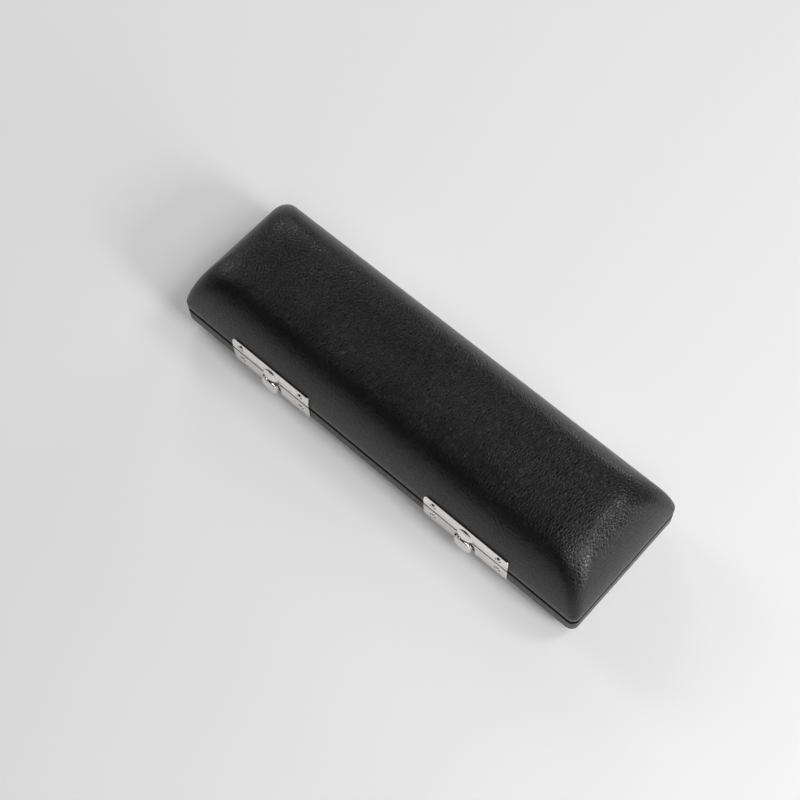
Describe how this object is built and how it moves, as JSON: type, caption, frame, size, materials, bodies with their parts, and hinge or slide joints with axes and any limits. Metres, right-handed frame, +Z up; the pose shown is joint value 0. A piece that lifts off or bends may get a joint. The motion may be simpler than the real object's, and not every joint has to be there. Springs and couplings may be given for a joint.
{
  "type": "piccolo case",
  "caption": "Low rectangular instrument case with a domed pillow lid, grained black leather cover, plated sliding latches in front, hinges behind and a fitted plush interior.",
  "frame": {"origin": "on the surface that the case stands on, under the middle of its bounding box", "axes": "+X along the case to the right as seen from the latches, -Y towards the latches, +Z up through the lid"},
  "size_m": [0.23, 0.0744, 0.047],
  "materials": {
    "leather_black": "pebble-grained, semi-matt",
    "shell_wood": "raw moulded wood",
    "plush_blue": "short pile plush",
    "block_foam": "firm moulded padding",
    "nickel_satin": "satin nickel plate",
    "nickel_bright": "bright nickel plate",
    "spring_steel": "drawn wire"
  },
  "bodies": {
    "base": {"base_cover": "leather_black", "base_shell": "shell_wood", "base_rim": "plush_blue", "base_block": "block_foam", "base_plush": "plush_blue", "latch_rivets_base": "nickel_bright", "hinge_rivets_base": "nickel_bright", "latch_lower_plate_left": "nickel_satin", "latch_lower_plate_right": "nickel_satin", "latch_housing_left": "nickel_satin", "latch_housing_right": "nickel_satin", "latch_spring_left": "spring_steel", "latch_spring_right": "spring_steel", "hinge_base_leaf_left": "nickel_satin", "hinge_base_leaf_right": "nickel_satin", "hinge_pin_left": "nickel_bright", "hinge_pin_right": "nickel_bright"},
    "lid": {"lid_cover": "leather_black", "lid_shell": "shell_wood", "lid_lining": "plush_blue", "lid_pad": "plush_blue", "latch_rivets_lid": "nickel_bright", "hinge_rivets_lid": "nickel_bright", "latch_upper_plate_left": "nickel_satin", "latch_upper_plate_right": "nickel_satin", "latch_hook_left": "nickel_satin", "latch_hook_right": "nickel_satin", "hinge_lid_leaf_left": "nickel_satin", "hinge_lid_leaf_right": "nickel_satin"},
    "bolt_left": {"latch_bolt_left": "nickel_satin", "latch_knob_left": "nickel_bright"},
    "bolt_right": {"latch_bolt_right": "nickel_satin", "latch_knob_right": "nickel_bright"}
  },
  "joints": [
    {"name": "lid_hinge", "type": "hinge", "parent": "base", "child": "lid", "pos_m": [0, 0.03562, 0.016], "axis": [-1, 0, 0], "range_deg": [0, 100]},
    {"name": "latch_slide_left", "type": "slide", "parent": "base", "child": "bolt_left", "axis": [1, 0, 0], "range_m": [0, 0.0034], "stiffness_N_per_m": 250, "springref_m": -0.002, "deforming": ["latch_spring_left"]},
    {"name": "latch_slide_right", "type": "slide", "parent": "base", "child": "bolt_right", "axis": [1, 0, 0], "range_m": [0, 0.0034], "stiffness_N_per_m": 250, "springref_m": -0.002, "deforming": ["latch_spring_right"]}
  ]
}
